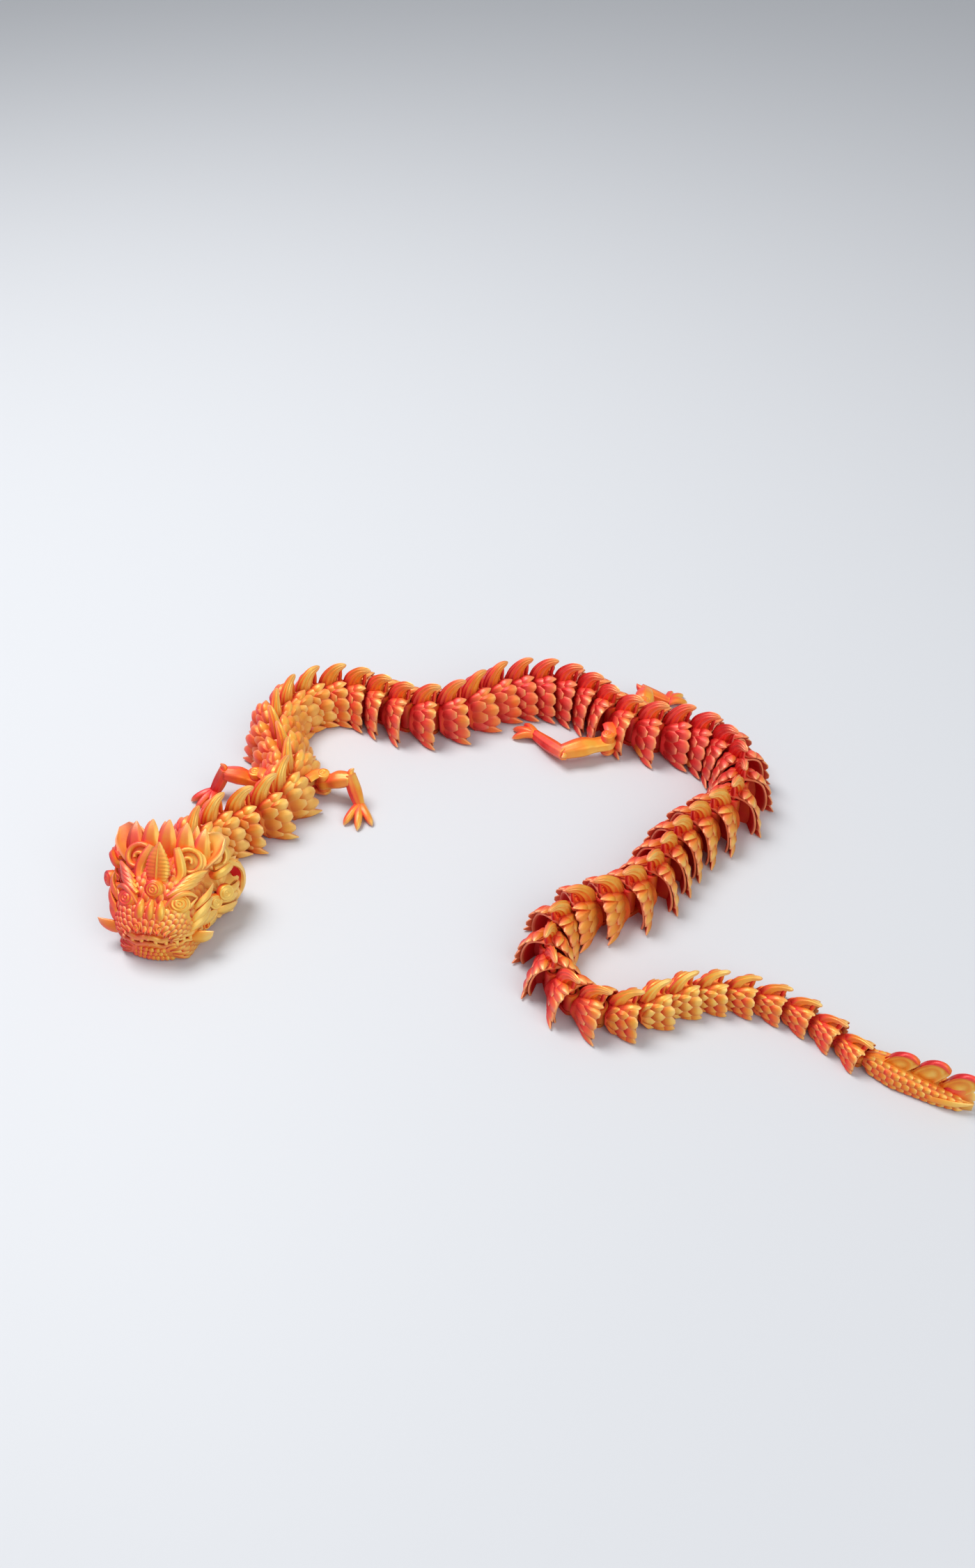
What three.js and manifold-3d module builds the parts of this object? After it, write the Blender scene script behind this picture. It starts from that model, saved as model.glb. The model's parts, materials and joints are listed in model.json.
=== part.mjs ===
// Articulated toy dragon, printed in place: a head, 54 body segments and a tail tip hinged in one
// long chain, with a leg hinged on each side of the shoulder segment and of the hip segment.
// Millimetres, +Z up, standing on z = 0. The chain lies in the curve of its rest pose, +X to the
// right and +Y away, with the origin under the middle of the whole toy.
import * as THREE from "three";
import { mergeVertices } from "three/addons/utils/BufferGeometryUtils.js";
import Module from "manifold-3d";

const wasm = await Module();
wasm.setup();

// ---- Driving dimensions ----
const PITCH = 12; // from one hinge axis of the chain to the next
const SEGMENTS = 54;
const SHOULDER = 6; // number of the segment that carries the front legs
const HIP = 25; // number of the segment that carries the hind legs
const HALF_WIDTH = 12.4; // of a full-size segment, at its rear rim
const ROOF = 18.8; // height of its back, without the fin
const FIN_TIP = 27.4; // height of its fin
const TAPER_FROM = 37; // the last full-size segment
const TAIL_SIZE = 0.47; // size of the last segment, against a full-size one
const WALL = 1.6; // skirt wall
const SKIRT = 1.6; // how far the skirt reaches past the rear hinge axis
const PIN_RADIUS = 1.5;
const PIN_SIDES = 6;
const BORE_SIDES = 8;
const BALL_SIDES = 7;
const CLEARANCE = 0.5; // running clearance of a printed hinge
const EYE_WALL = 1.3; // wall of the eye that turns round a pin
const TONGUE_REACH = 1.8; // how far the tongue reaches past its pin
const FLOOR = 2; // thickness of the tongue that holds the foot of a pin
const CAP = 1.6; // thickness of the roof that holds the head of a pin

// Rest pose. The head's tailward heading from +X, then the bend at each hinge of the chain, in
// degrees anticlockwise from above. A turn is [first hinge, last hinge, bend at each]. Hinge 0
// joins the head to segment 1.
const HEAD_HEADING = 81;
const TURNS = [
  [0, 0, -10], [1, 2, -23], [3, 3, 13], [4, 6, 25], [8, 12, -25], [13, 13, -15], [15, 17, 20],
  [19, 22, -17], [23, 23, -16], [24, 26, 14], [27, 27, -19], [28, 31, -22], [32, 32, -25],
  [34, 35, 9], [37, 38, -18], [40, 46, 26], [48, 49, -15], [50, 52, -12], [53, 53, -6],
  [54, 54, 20],
];

const CORAL = 0xf2553f;
const ORANGE = 0xf27a28;
const GOLD = 0xf2ad3c;
const SILK_ROUGHNESS = 0.34;
const SILK_METALNESS = 0.25;
const GOLD_NECK_TO = SHOULDER; // the segments from the head to this one are gold
const CORAL_FROM = 18;
const CORAL_TO = 32;
const GOLD_TAIL_FROM = 44;

// ---- Solids ----
// A closed three.js geometry as a solid that can be joined and cut.
function solid(geometry) {
  const bare = geometry.clone();
  bare.deleteAttribute("normal");
  bare.deleteAttribute("uv");
  const merged = mergeVertices(bare);
  const vertProperties = Float32Array.from(merged.attributes.position.array);
  const triVerts = Uint32Array.from(merged.index.array);
  return new wasm.Manifold(new wasm.Mesh({ numProp: 3, vertProperties, triVerts }));
}

function geometryOf(shape) {
  const mesh = shape.getMesh();
  const geometry = new THREE.BufferGeometry();
  geometry.setAttribute("position", new THREE.BufferAttribute(mesh.vertProperties, 3));
  geometry.setIndex(new THREE.BufferAttribute(mesh.triVerts, 1));
  return geometry;
}

function joined(...shapes) {
  return shapes.reduce((whole, shape) => whole.add(shape));
}

function outlineOf(points) {
  return new THREE.Shape(points.map(([x, y]) => new THREE.Vector2(x, y)));
}

// Cross-section of the body: half of a flat-bottomed arch, as fractions of half-width and height.
const HALF_ARCH = [[0.92, 0], [1, 0.25], [0.84, 0.78], [0.42, 1]];
const ARCH = outlineOf([...HALF_ARCH, ...HALF_ARCH.map(([y, z]) => [-y, z]).reverse()]);

// The arch swept along x through stations of [x, half-width, bottom, top].
function arch(stations) {
  const steps = stations.length - 1;
  const geometry = new THREE.ExtrudeGeometry(ARCH, { depth: 1, steps, bevelEnabled: false });
  const place = geometry.attributes.position;
  for (let i = 0; i < place.count; i += 1) {
    const [x, halfWidth, bottom, top] = stations[Math.round(place.getZ(i) * steps)];
    const y = place.getX(i) * halfWidth;
    place.setXYZ(i, x, y, bottom + place.getY(i) * (top - bottom));
  }
  return solid(geometry);
}

// A flat outline in x and y, raised from z = bottom to z = top.
function slab(points, bottom, top) {
  const depth = top - bottom;
  const geometry = new THREE.ExtrudeGeometry(outlineOf(points), { depth, bevelEnabled: false });
  return solid(geometry.translate(0, 0, bottom));
}

// A side outline in x and z, thick at the root height and thin at the tip height.
function blade(points, root, tip, rootHalf, tipHalf) {
  const geometry = new THREE.ExtrudeGeometry(outlineOf(points), { depth: 2, bevelEnabled: false });
  geometry.translate(0, 0, -1).rotateX(Math.PI / 2);
  const place = geometry.attributes.position;
  for (let i = 0; i < place.count; i += 1) {
    const height = THREE.MathUtils.clamp((place.getZ(i) - root) / (tip - root), 0, 1);
    place.setY(i, place.getY(i) * THREE.MathUtils.lerp(rootHalf, tipHalf, height));
  }
  return solid(geometry);
}

// An upright post.
function post(x, y, radius, bottom, top, sides = PIN_SIDES) {
  const height = top - bottom;
  const geometry = new THREE.CylinderGeometry(radius, radius, height, sides);
  geometry.rotateX(Math.PI / 2).translate(x, y, bottom + height / 2);
  return solid(geometry);
}

// A round bar that narrows from one point to another.
function bar(from, to, fromRadius, toRadius, sides = 6) {
  const start = new THREE.Vector3(...from);
  const along = new THREE.Vector3(...to).sub(start);
  const length = along.length();
  const geometry = new THREE.CylinderGeometry(toRadius, fromRadius, length, sides);
  geometry.translate(0, length / 2, 0);
  const up = new THREE.Vector3(0, 1, 0);
  geometry.applyQuaternion(new THREE.Quaternion().setFromUnitVectors(up, along.normalize()));
  return solid(geometry.translate(start.x, start.y, start.z));
}

// A ball squashed to three radii.
function ball([x, y, z], [rx, ry, rz]) {
  const geometry = new THREE.SphereGeometry(1, BALL_SIDES, BALL_SIDES - 2);
  return solid(geometry.scale(rx, ry, rz).translate(x, y, z));
}

function mirrored(make) {
  return joined(make(1), make(-1));
}

// ---- Hinges of the chain ----
// Sizes of one segment, from its size against a full-size one.
function sizesOf(size) {
  const pin = PIN_RADIUS * (0.5 + 0.5 * size);
  return {
    width: HALF_WIDTH * size,
    size,
    roof: ROOF * size,
    fin: FIN_TIP * size,
    wall: WALL * (0.6 + 0.4 * size),
    pin,
    bore: pin + CLEARANCE,
    eye: pin + CLEARANCE + EYE_WALL,
  };
}

const NECK_X = 2; // front face of a segment's body, behind its eye
const BODY_X = PITCH * 0.43; // where the body reaches its full height
const BODY_DROP = 1.3; // how far the roof there is below the roof of the rear rim
const HOLLOW_X = 3.9; // how far ahead of the rear hinge axis the skirt is hollow
const HOLLOW_DROP = 0.5; // how much lower the hollow's roof is at its front
const SMALL_EYE_DROP = 2.4; // keeps a small segment's eye clear of its roof's sloping sides
const EYE_LIFT = 0.1; // keeps the eye off the tongue, over the running clearance

// Where the eye of a segment starts and ends, over the tongue and under the roof ahead of it.
function eyeHeights(s) {
  const top = s.roof - CAP - CLEARANCE - SMALL_EYE_DROP * (1 - s.size);
  return [FLOOR + CLEARANCE + EYE_LIFT, top];
}

// Stations of the front of a segment: a neck that turns inside the skirt ahead of it.
function frontStations(s) {
  const inset = Math.min(4.4, s.roof * 0.33);
  const neck = s.width * (0.44 + 0.16 * s.size);
  return [
    [NECK_X, neck, inset, s.roof - inset],
    [BODY_X, neck + 0.3, 0, s.roof - BODY_DROP],
  ];
}

// The eye's ring at the origin, and the bore through it.
function eyeRing(s) {
  const [bottom, top] = eyeHeights(s);
  return post(0, 0, s.eye, bottom, top);
}

function eyeBore(s) {
  return post(0, 0, s.bore, -1, s.roof + 1, BORE_SIDES);
}

// The skirt's hollow around the rear hinge axis at x, open behind and below.
function skirtHollow(x, s, frontWidth) {
  return arch([
    [x - HOLLOW_X, frontWidth - s.wall, -1, s.roof - CAP - HOLLOW_DROP],
    [x + SKIRT + 0.1, s.width - s.wall, -1, s.roof - CAP],
  ]);
}

// The captive pin at x and the rounded tongue that holds its foot.
function captivePin(x, s) {
  const reach = s.pin + TONGUE_REACH;
  const end = x + reach * 0.85;
  const half = reach * 0.5;
  const start = x - HOLLOW_X - 1.5;
  const tongue = slab([
    [start, -reach], [x, -reach], [end, -half], [end, half], [x, reach], [start, reach],
  ], 0, FLOOR);
  return tongue.add(post(x, 0, s.pin, FLOOR / 2, s.roof - CAP / 2));
}

// A curved, backward-leaning fin on the roof.
function backFin(s) {
  const rise = s.fin - s.roof;
  const at = (x, part) => [x, s.roof + rise * part];
  const side = [at(5, -0.14), at(12.4, -0.12), at(13.4, 0.5), at(16, 1), at(10.5, 0.64)];
  return blade(side, s.roof, s.fin, s.width * 0.2, s.width * 0.05);
}

// ---- Body segments ----
// One hollow segment, its front hinge axis at the origin and its rear one at x = PITCH.
function segmentSolid(size) {
  const s = sizesOf(size);
  const rearX = PITCH + SKIRT;
  const front = frontStations(s);
  const slope = (s.width - front[1][1]) / (rearX - BODY_X);
  const hollowWidth = front[1][1] + slope * (PITCH - HOLLOW_X - BODY_X);
  const shell = arch([...front, [rearX, s.width, 0, s.roof]]);
  const hollowed = joined(shell, eyeRing(s)).subtract(skirtHollow(PITCH, s, hollowWidth));
  return joined(hollowed.subtract(eyeBore(s)), captivePin(PITCH, s), backFin(s));
}

// ---- Leg hinges ----
const LEG_PIN = [8, 15.2]; // where a leg's hinge axis stands: along the segment, out to the side
const LEG_EYE = [4.2, 11]; // bottom and top of a leg's eye
const LEG_LUG = 1.6; // thickness of the two lugs that hold a leg's pin
const LEG_EYE_RADIUS = 3.2;
const LEG_PIN_RADIUS = 1.2;
const LUG_REACH = 3; // how far the lugs reach round the pin
const HUB_NECK = [2.2, 2.3]; // length and radius of the neck from a leg's eye to its thigh
const FOOT_HEIGHT = 4.6;
const FOOT_RADIUS = 4.2;
const TOE_SPREAD = 32; // degrees from one toe to the next
const TOE_RADII = [2.1, 0.6]; // at the foot and at the claw's tip
const MIDDLE_TOE = 1.12; // length of the middle toe against the outer two

// Two lugs on one flank, with the leg's captive pin between them. Side is +1 or -1. Their front
// edge stays clear of the skirt ahead when the chain bends.
function legLugs(side) {
  const [x, y] = LEG_PIN;
  const [eyeBottom, eyeTop] = LEG_EYE;
  const reach = LUG_REACH;
  const corner = reach * Math.SQRT1_2;
  const outline = [
    [x, 7], [x + reach, 9], [x + reach, y], [x + corner, y + corner], [x, y + reach],
    [x - corner, y + corner], [x - reach, y], [x - reach, 12.8], [x, 11],
  ].map(([along, out]) => [along, side * out]);
  const lug = (bottom, top) => slab(side > 0 ? outline : outline.reverse(), bottom, top);
  const lower = eyeBottom - CLEARANCE;
  const upper = eyeTop + CLEARANCE;
  return joined(
    lug(lower - LEG_LUG, lower),
    lug(upper, upper + LEG_LUG),
    post(x, side * y, LEG_PIN_RADIUS, lower - LEG_LUG / 2, upper + LEG_LUG / 2),
  );
}

// A segment that carries a pair of legs: its flanks are cut away round the legs' eyes.
function leggedSegmentSolid() {
  const [x, y] = LEG_PIN;
  const [bottom, top] = LEG_EYE;
  const room = LEG_EYE_RADIUS + CLEARANCE;
  const pocket = (side) => post(x, side * y, room, bottom - CLEARANCE, top + CLEARANCE);
  const body = segmentSolid(1).subtract(mirrored(pocket));
  return body.add(mirrored(legLugs));
}

// ---- Legs ----
// A leg on the +y side, its hinge axis at the origin. Points are [x, y, z] in the segment's frame.
// The toes spread round the direction of toeHeading, in degrees from +x.
function legSolid({ knee, ankle, thigh, shin, toeHeading, toeLength }) {
  const [bottom, top] = LEG_EYE;
  const hub = new THREE.Vector3(0, 0, (bottom + top) / 2);
  const eye = post(0, 0, LEG_EYE_RADIUS, bottom, top);
  const towardKnee = new THREE.Vector3(...knee).sub(hub);
  const [neckLength, neckRadius] = HUB_NECK;
  const start = hub.clone().add(towardKnee.setLength(LEG_EYE_RADIUS + neckLength));
  const neckEnd = hub.clone().addScaledVector(towardKnee, 1.3);
  const neck = bar(hub.toArray(), neckEnd.toArray(), neckRadius, neckRadius);
  const upper = bar(start.toArray(), knee, thigh, thigh * 0.85);
  const lower = bar(knee, ankle, shin * 1.15, shin);
  const sole = [ankle[0], ankle[1], FOOT_HEIGHT / 2];
  const [toeRoot, toeTip] = TOE_RADII;
  const toes = [-1, 0, 1].map((toe) => {
    const heading = THREE.MathUtils.degToRad(toeHeading + toe * TOE_SPREAD);
    const reach = toeLength * (toe === 0 ? MIDDLE_TOE : 1);
    const tip = [sole[0] + reach * Math.cos(heading), sole[1] + reach * Math.sin(heading), toeTip];
    return bar([sole[0], sole[1], toeRoot], tip, toeRoot, toeTip, 5);
  });
  const foot = ball(sole, [FOOT_RADIUS, FOOT_RADIUS, FOOT_HEIGHT / 2]);
  const joints = joined(ball(knee, [thigh, thigh, thigh]), foot);
  const bore = post(0, 0, LEG_PIN_RADIUS + CLEARANCE, bottom - 1, top + 1, BORE_SIDES);
  const limb = joined(eye, neck, upper, lower, joints, ...toes).subtract(bore);
  return limb.trimByPlane([0, 0, 1], 0);
}

const FRONT_LEFT = {
  knee: [-1, 14, 12.5], ankle: [-3, 19, 4], thigh: 3.9, shin: 3, toeHeading: 145, toeLength: 11,
};
const FRONT_RIGHT = {
  knee: [-3, 13, 12.5], ankle: [-10, 17, 4], thigh: 3.9, shin: 3, toeHeading: 180, toeLength: 12,
};
const HIND_RIGHT = {
  knee: [-14, 17, 6.5], ankle: [-33, 11, 4], thigh: 4.4, shin: 3.2, toeHeading: 175, toeLength: 11,
};
const HIND_LEFT = {
  knee: [-6, 12, 7.5], ankle: [4, 17, 4], thigh: 4.4, shin: 3.2, toeHeading: 78, toeLength: 10,
};

// ---- Head ----
// The head looks along -x, with the hinge to the first segment at the origin.
const HEAD_LENGTH = 49;
const CREST_TIP = 41;
const COLLAR_LENGTH = 12; // ahead of the hinge axis
const COLLAR_FRONT = 11.5; // half-width of the collar's front

function headSolid() {
  const s = sizesOf(1);
  const collar = arch([
    [-COLLAR_LENGTH, COLLAR_FRONT, 0, s.roof], [SKIRT, s.width, 0, s.roof],
  ]);
  const skull = arch([
    [-HEAD_LENGTH + 3, 13.5, 2.5, 16], [-40, 17, 0, 19], [-30, 18, 0, 26], [-17, 17.5, 0, 29],
    [-9, 13, 0, 25],
  ]);
  const snout = arch([[-HEAD_LENGTH, 9.5, 4, 13.5], [-HEAD_LENGTH + 4, 13.8, 2.4, 15.5]]);
  const eyes = mirrored((side) => ball([-36.5, side * 11, 20.5], [4.4, 4.4, 4.4]));
  const jewel = ball([-37, 0, 23.5], [3.2, 3.4, 3.6]);
  const spikes = mirrored((side) => bar([-39, side * 14, 9], [-40, side * 23.5, 12.5], 3.4, 0.4, 5));
  const manes = mirrored((side) => joined(
    ball([-15, side * 18.5, 15], [4.6, 8, 12]),
    ball([-19, side * 17, 27], [3.6, 7.2, 8]),
  ));
  const horn = bar([-30, 0, 24], [-21, 0, 39], 5, 1.2);
  const crest = [[-8, 0], [-13, 9], [-13, -9]].map(([x, y]) =>
    bar([x - 3, y, 22], [x + 2, y * 1.1, CREST_TIP - Math.abs(y) * 0.2], 4.6, 0.8, 5));
  const hollowPart = (COLLAR_LENGTH - HOLLOW_X) / (COLLAR_LENGTH + SKIRT);
  const hollowFront = THREE.MathUtils.lerp(COLLAR_FRONT, s.width, hollowPart);
  const shell = joined(collar, skull, snout, eyes, jewel, spikes, manes, horn, ...crest);
  const sweep = slab([[SKIRT, -30], [30, -30], [30, 30], [SKIRT, 30]], -1, CREST_TIP + 5);
  return joined(shell.subtract(sweep).subtract(skirtHollow(0, s, hollowFront)), captivePin(0, s));
}

// ---- Tail tip ----
// A slim scaled root with three upright leaf lobes, the eye of its hinge at the origin.
const TIP_LENGTH = 43;
const LOBES = [[6, 15], [16.5, 17.5], [27.5, 17]]; // where each lobe starts, and its height

function tailTipSolid() {
  const s = sizesOf(TAIL_SIZE);
  const root = arch([
    ...frontStations(s), [16, 5.2, 0, s.roof], [32, 4.4, 0, 7.5], [TIP_LENGTH, 1.6, 0, 4],
  ]);
  const lobes = LOBES.map(([x, height]) => {
    const side = [
      [x, 4], [x + 13, 4], [x + 15, height * 0.72], [x + 13.6, height],
      [x + 8, height * 0.97], [x + 2, height * 0.72],
    ];
    return blade(side, 4, height, 2.2, 1.3);
  });
  return joined(root, eyeRing(s), ...lobes).subtract(eyeBore(s));
}

// ---- Assembly ----
const dragon = new THREE.Group();
dragon.name = "dragon";

function silk(color) {
  return new THREE.MeshStandardMaterial({
    color, roughness: SILK_ROUGHNESS, metalness: SILK_METALNESS,
  });
}

function named(name, shape, color) {
  const mesh = new THREE.Mesh(geometryOf(shape), silk(color));
  mesh.name = name;
  return mesh;
}

function bendAt(hinge) {
  const turn = TURNS.find(([first, last]) => hinge >= first && hinge <= last);
  return turn ? turn[2] : 0;
}

function sizeAt(segment) {
  const along = Math.max(0, segment - TAPER_FROM) / (SEGMENTS - TAPER_FROM);
  return THREE.MathUtils.lerp(1, TAIL_SIZE, along);
}

function colourAt(segment) {
  if (segment <= GOLD_NECK_TO || segment >= GOLD_TAIL_FROM) return GOLD;
  return segment >= CORAL_FROM && segment <= CORAL_TO ? CORAL : ORANGE;
}

// Each link is a group whose origin is its front hinge axis, nested in the link ahead of it.
const head = named("head", headSolid(), GOLD);
const headPlace = new THREE.Group();
headPlace.rotation.z = THREE.MathUtils.degToRad(HEAD_HEADING);
headPlace.add(head);
dragon.add(headPlace);

function twoDigits(number) {
  return String(number).padStart(2, "0");
}

function legPlaced(name, shape, side, color) {
  const leg = named(name, side > 0 ? shape : shape.mirror([0, 1, 0]), color);
  const [x, y] = LEG_PIN;
  leg.position.set(x, side * y, 0);
  return leg;
}

let ahead = headPlace;
let hingeX = 0;
for (let number = 1; number <= SEGMENTS + 1; number += 1) {
  const link = new THREE.Group();
  link.position.x = hingeX;
  link.rotation.z = THREE.MathUtils.degToRad(bendAt(number - 1));
  ahead.add(link);
  ahead = link;
  hingeX = PITCH;
  if (number > SEGMENTS) {
    link.add(named("tail_tip", tailTipSolid(), GOLD));
  } else if (number === SHOULDER) {
    link.add(named("shoulder_segment", leggedSegmentSolid(), GOLD));
    link.add(legPlaced("front_left_leg", legSolid(FRONT_LEFT), 1, CORAL));
    link.add(legPlaced("front_right_leg", legSolid(FRONT_RIGHT), -1, ORANGE));
  } else if (number === HIP) {
    link.add(named("hip_segment", leggedSegmentSolid(), ORANGE));
    link.add(legPlaced("hind_left_leg", legSolid(HIND_LEFT), 1, ORANGE));
    link.add(legPlaced("hind_right_leg", legSolid(HIND_RIGHT), -1, GOLD));
  } else {
    const name = `segment_${twoDigits(number)}`;
    link.add(named(name, segmentSolid(sizeAt(number)), colourAt(number)));
  }
}

// The origin goes under the middle of the whole toy.
const middle = new THREE.Box3().setFromObject(dragon, true).getCenter(new THREE.Vector3());
dragon.position.set(-middle.x, -middle.y, 0);

export default dragon;
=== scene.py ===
"""Looks of an articulated toy dragon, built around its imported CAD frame.

Each link of the chain and each leg is one sculpted mesh in its CAD solid's place, printed in a
two-tone red and gold silk plastic. Sizes are millimetres in a link's own frame: x runs tailward
from the link's front hinge axis, y to its left, z up from the floor.
"""

import math

import bmesh
import bpy
import numpy as np
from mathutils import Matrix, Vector
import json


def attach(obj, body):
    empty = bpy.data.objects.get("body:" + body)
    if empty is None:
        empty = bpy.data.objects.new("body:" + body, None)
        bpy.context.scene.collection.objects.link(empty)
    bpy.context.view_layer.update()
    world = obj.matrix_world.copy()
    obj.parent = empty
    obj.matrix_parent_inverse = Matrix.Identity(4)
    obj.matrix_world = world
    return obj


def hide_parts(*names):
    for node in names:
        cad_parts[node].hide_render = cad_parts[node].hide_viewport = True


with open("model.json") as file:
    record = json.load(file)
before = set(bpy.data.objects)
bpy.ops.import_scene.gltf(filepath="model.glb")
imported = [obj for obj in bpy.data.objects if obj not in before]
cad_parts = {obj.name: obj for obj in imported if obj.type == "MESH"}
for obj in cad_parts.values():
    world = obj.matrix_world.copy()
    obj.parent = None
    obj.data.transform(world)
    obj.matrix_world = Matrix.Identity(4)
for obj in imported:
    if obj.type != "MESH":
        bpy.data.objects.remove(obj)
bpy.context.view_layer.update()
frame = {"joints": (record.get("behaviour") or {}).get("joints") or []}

# ---- Driving dimensions, those of the CAD ----
MM = 0.001
SEGMENTS = 54
SHOULDER = 6
HIP = 25
PITCH = 12.0
HALF_WIDTH = 12.4
ROOF = 18.8
FIN_TIP = 27.4
TAPER_FROM = 37
TAIL_SIZE = 0.47
WALL = 1.6
SKIRT = 1.6
PIN_RADIUS = 1.5
CLEARANCE = 0.5
EYE_WALL = 1.3
FLOOR = 2.0
CAP = 1.6
NECK_X = 2.0
BODY_X = 5.16
LEG_PIN = (8.0, 15.2)
LEG_EYE = (4.2, 11.0)
LEG_EYE_RADIUS = 3.2
LEG_PIN_RADIUS = 1.2
LUG = 1.6
HEAD_HEADING = math.radians(81)
TAIL_BEND = math.radians(20)


# ---- Shapes ----
class Shape:
    """Points and faces of one piece, with three hints at each point for the silk material:
    silk moves the mix from red to gold, the painted shade hint is 1 where a hollow or a scale's root
    is painted dark red as shade, and the painted highlight hint is 1 where a rim or tip is painted
    pale as a highlight."""

    def __init__(self):
        self.points = []
        self.hints = []
        self.faces = []
        self.count = 0

    def add(self, points, faces, silk=0.0, depth=0.0, edge=0.0):
        points = np.asarray(points, float)
        flat = points.reshape(-1, 3)
        hint = np.empty((len(flat), 3))
        for column, value in enumerate((silk, depth, edge)):
            value = np.broadcast_to(np.asarray(value, float), points.shape[:-1])
            hint[:, column] = value.reshape(-1)
        self.points.append(flat)
        self.hints.append(hint)
        self.faces += [tuple(i + self.count for i in face) for face in faces]
        self.count += len(flat)


def curve(points, t):
    """Points at t, from 0 to 1, on a smooth curve through evenly spaced control points."""
    points = np.asarray(points, float)
    if points.ndim == 1:
        points = points[:, None]
    place = np.clip(np.asarray(t, float), 0, 1) * (len(points) - 1)
    i = np.minimum(place.astype(int), len(points) - 2)
    u = (place - i)[..., None]
    ends = [2 * points[0] - points[1]], points, [2 * points[-1] - points[-2]]
    padded = np.concatenate(ends)
    a, b, c, d = (padded[i + step] for step in range(4))
    bend = (2 * a - 5 * b + 4 * c - d) * u**2 + (3 * b - a - 3 * c + d) * u**3
    return 0.5 * (2 * b + (c - a) * u + bend)


def profile(values, t):
    return curve(values, t)[..., 0]


def unit(vectors):
    length = np.linalg.norm(vectors, axis=-1, keepdims=True)
    return vectors / np.maximum(length, 1e-9)


def loft(shape, rings, **hints):
    """A closed solid through rings of points."""
    rows, around = rings.shape[:2]
    faces = []
    for i in range(rows - 1):
        for j in range(around):
            k = (j + 1) % around
            low, high = i * around, (i + 1) * around
            faces.append((low + j, low + k, high + k, high + j))
    faces.append(tuple(range(around - 1, -1, -1)))
    faces.append(tuple((rows - 1) * around + j for j in range(around)))
    shape.add(rings, faces, **hints)


def plate(shape, outer, inner, silk=0.0, depth=0.0, inner_painted_shade=None, edge=0.0):
    """A closed sheet between an outer and an inner grid of points of the same size."""
    rows, columns = outer.shape[:2]
    size = rows * columns
    faces = []
    for i in range(rows - 1):
        for j in range(columns - 1):
            a, b = i * columns + j, (i + 1) * columns + j
            faces.append((a, b, b + 1, a + 1))
            faces.append((size + a, size + a + 1, size + b + 1, size + b))
    border = [(0, j) for j in range(columns)]
    border += [(i, columns - 1) for i in range(1, rows)]
    border += [(rows - 1, j) for j in range(columns - 2, -1, -1)]
    border += [(i, 0) for i in range(rows - 2, 0, -1)]
    ring = [i * columns + j for i, j in border]
    for a, b in zip(ring, ring[1:] + ring[:1]):
        faces.append((a, b, size + b, size + a))
    both = np.stack([outer, inner])
    grid = outer.shape[:2]
    # The inner grid takes its own painted shade, darker than the outer one where asked.
    inner_painted_shade = depth if inner_painted_shade is None else inner_painted_shade
    painted_shades = np.stack([np.broadcast_to(depth, grid), np.broadcast_to(inner_painted_shade, grid)])
    silks = np.stack([np.broadcast_to(silk, grid)] * 2)
    painted_highlights = np.stack([np.broadcast_to(edge, grid)] * 2)
    shape.add(both, faces, silk=silks, depth=painted_shades, edge=painted_highlights)


def limb(shape, path, wide, thick, across, along=12, around=14, ripple=None, tip=0.0, **hints):
    """A solid along a smooth path: wide is its half-width along the direction across, thick its
    half-thickness. ripple(t, angle) scales the section, and the last part, tip, is rounded."""
    t = np.linspace(0, 1, along)
    if tip:
        t = np.sin(0.5 * math.pi * t) ** 0.9
    closing = np.sqrt(1 - 0.985 * np.clip((t - 1 + tip) / max(tip, 1e-6), 0, 1) ** 2)
    centre = curve(path, t)
    forward = unit(np.gradient(centre, axis=0))
    across = np.broadcast_to(np.asarray(across, float), forward.shape)
    side = unit(across - forward * (forward * across).sum(-1, keepdims=True))
    up = np.cross(side, forward)
    angle = np.linspace(0, 2 * math.pi, around, endpoint=False)
    scale_by = np.repeat(closing[:, None], around, 1)
    if ripple:
        scale_by = scale_by * ripple(t[:, None], angle[None, :])
    reach_side = profile(wide, t)[:, None] * np.cos(angle) * scale_by
    reach_up = profile(thick, t)[:, None] * np.sin(angle) * scale_by
    rings = centre[:, None] + side[:, None] * reach_side[..., None]
    rings = rings + up[:, None] * reach_up[..., None]
    # The painted shade and painted highlight hints can also run along the path, like silk.
    for name in ("silk", "edge", "depth"):
        if isinstance(hints.get(name), (tuple, list)):
            hints[name] = profile(hints[name], t)[:, None]
    loft(shape, rings, **hints)


def fluted(count, groove):
    return lambda t, angle: 1 - groove * (0.5 - 0.5 * np.cos(count * angle)) + 0 * t


def stepped(count, groove):
    return lambda t, angle: 1 - groove * (count * t % 1.0) + 0 * angle


def turned(shape, x, y, outline, around=24, **hints):
    """A closed outline of [radius, z] turned round an upright axis."""
    outline = np.asarray(outline, float)
    angle = np.linspace(0, 2 * math.pi, around, endpoint=False)
    radius, height = outline[:, 0], outline[:, 1]
    points = np.stack([
        x + radius[None] * np.cos(angle)[:, None],
        y + radius[None] * np.sin(angle)[:, None],
        np.broadcast_to(height, (around, len(height))),
    ], -1)
    count = len(outline)
    faces = []
    for i in range(around):
        for j in range(count):
            k, m = (i + 1) % around, (j + 1) % count
            faces.append((i * count + j, k * count + j, k * count + m, i * count + m))
    shape.add(points, faces, **hints)


def post(shape, x, y, radius, bottom, top, around=20, **hints):
    angle = np.linspace(0, 2 * math.pi, around, endpoint=False)
    circle = np.stack([np.cos(angle), np.sin(angle), 0 * angle], -1)
    rings = np.stack([circle * [radius, radius, 0] + [x, y, z] for z in (bottom, top)])
    loft(shape, rings, **hints)


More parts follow.
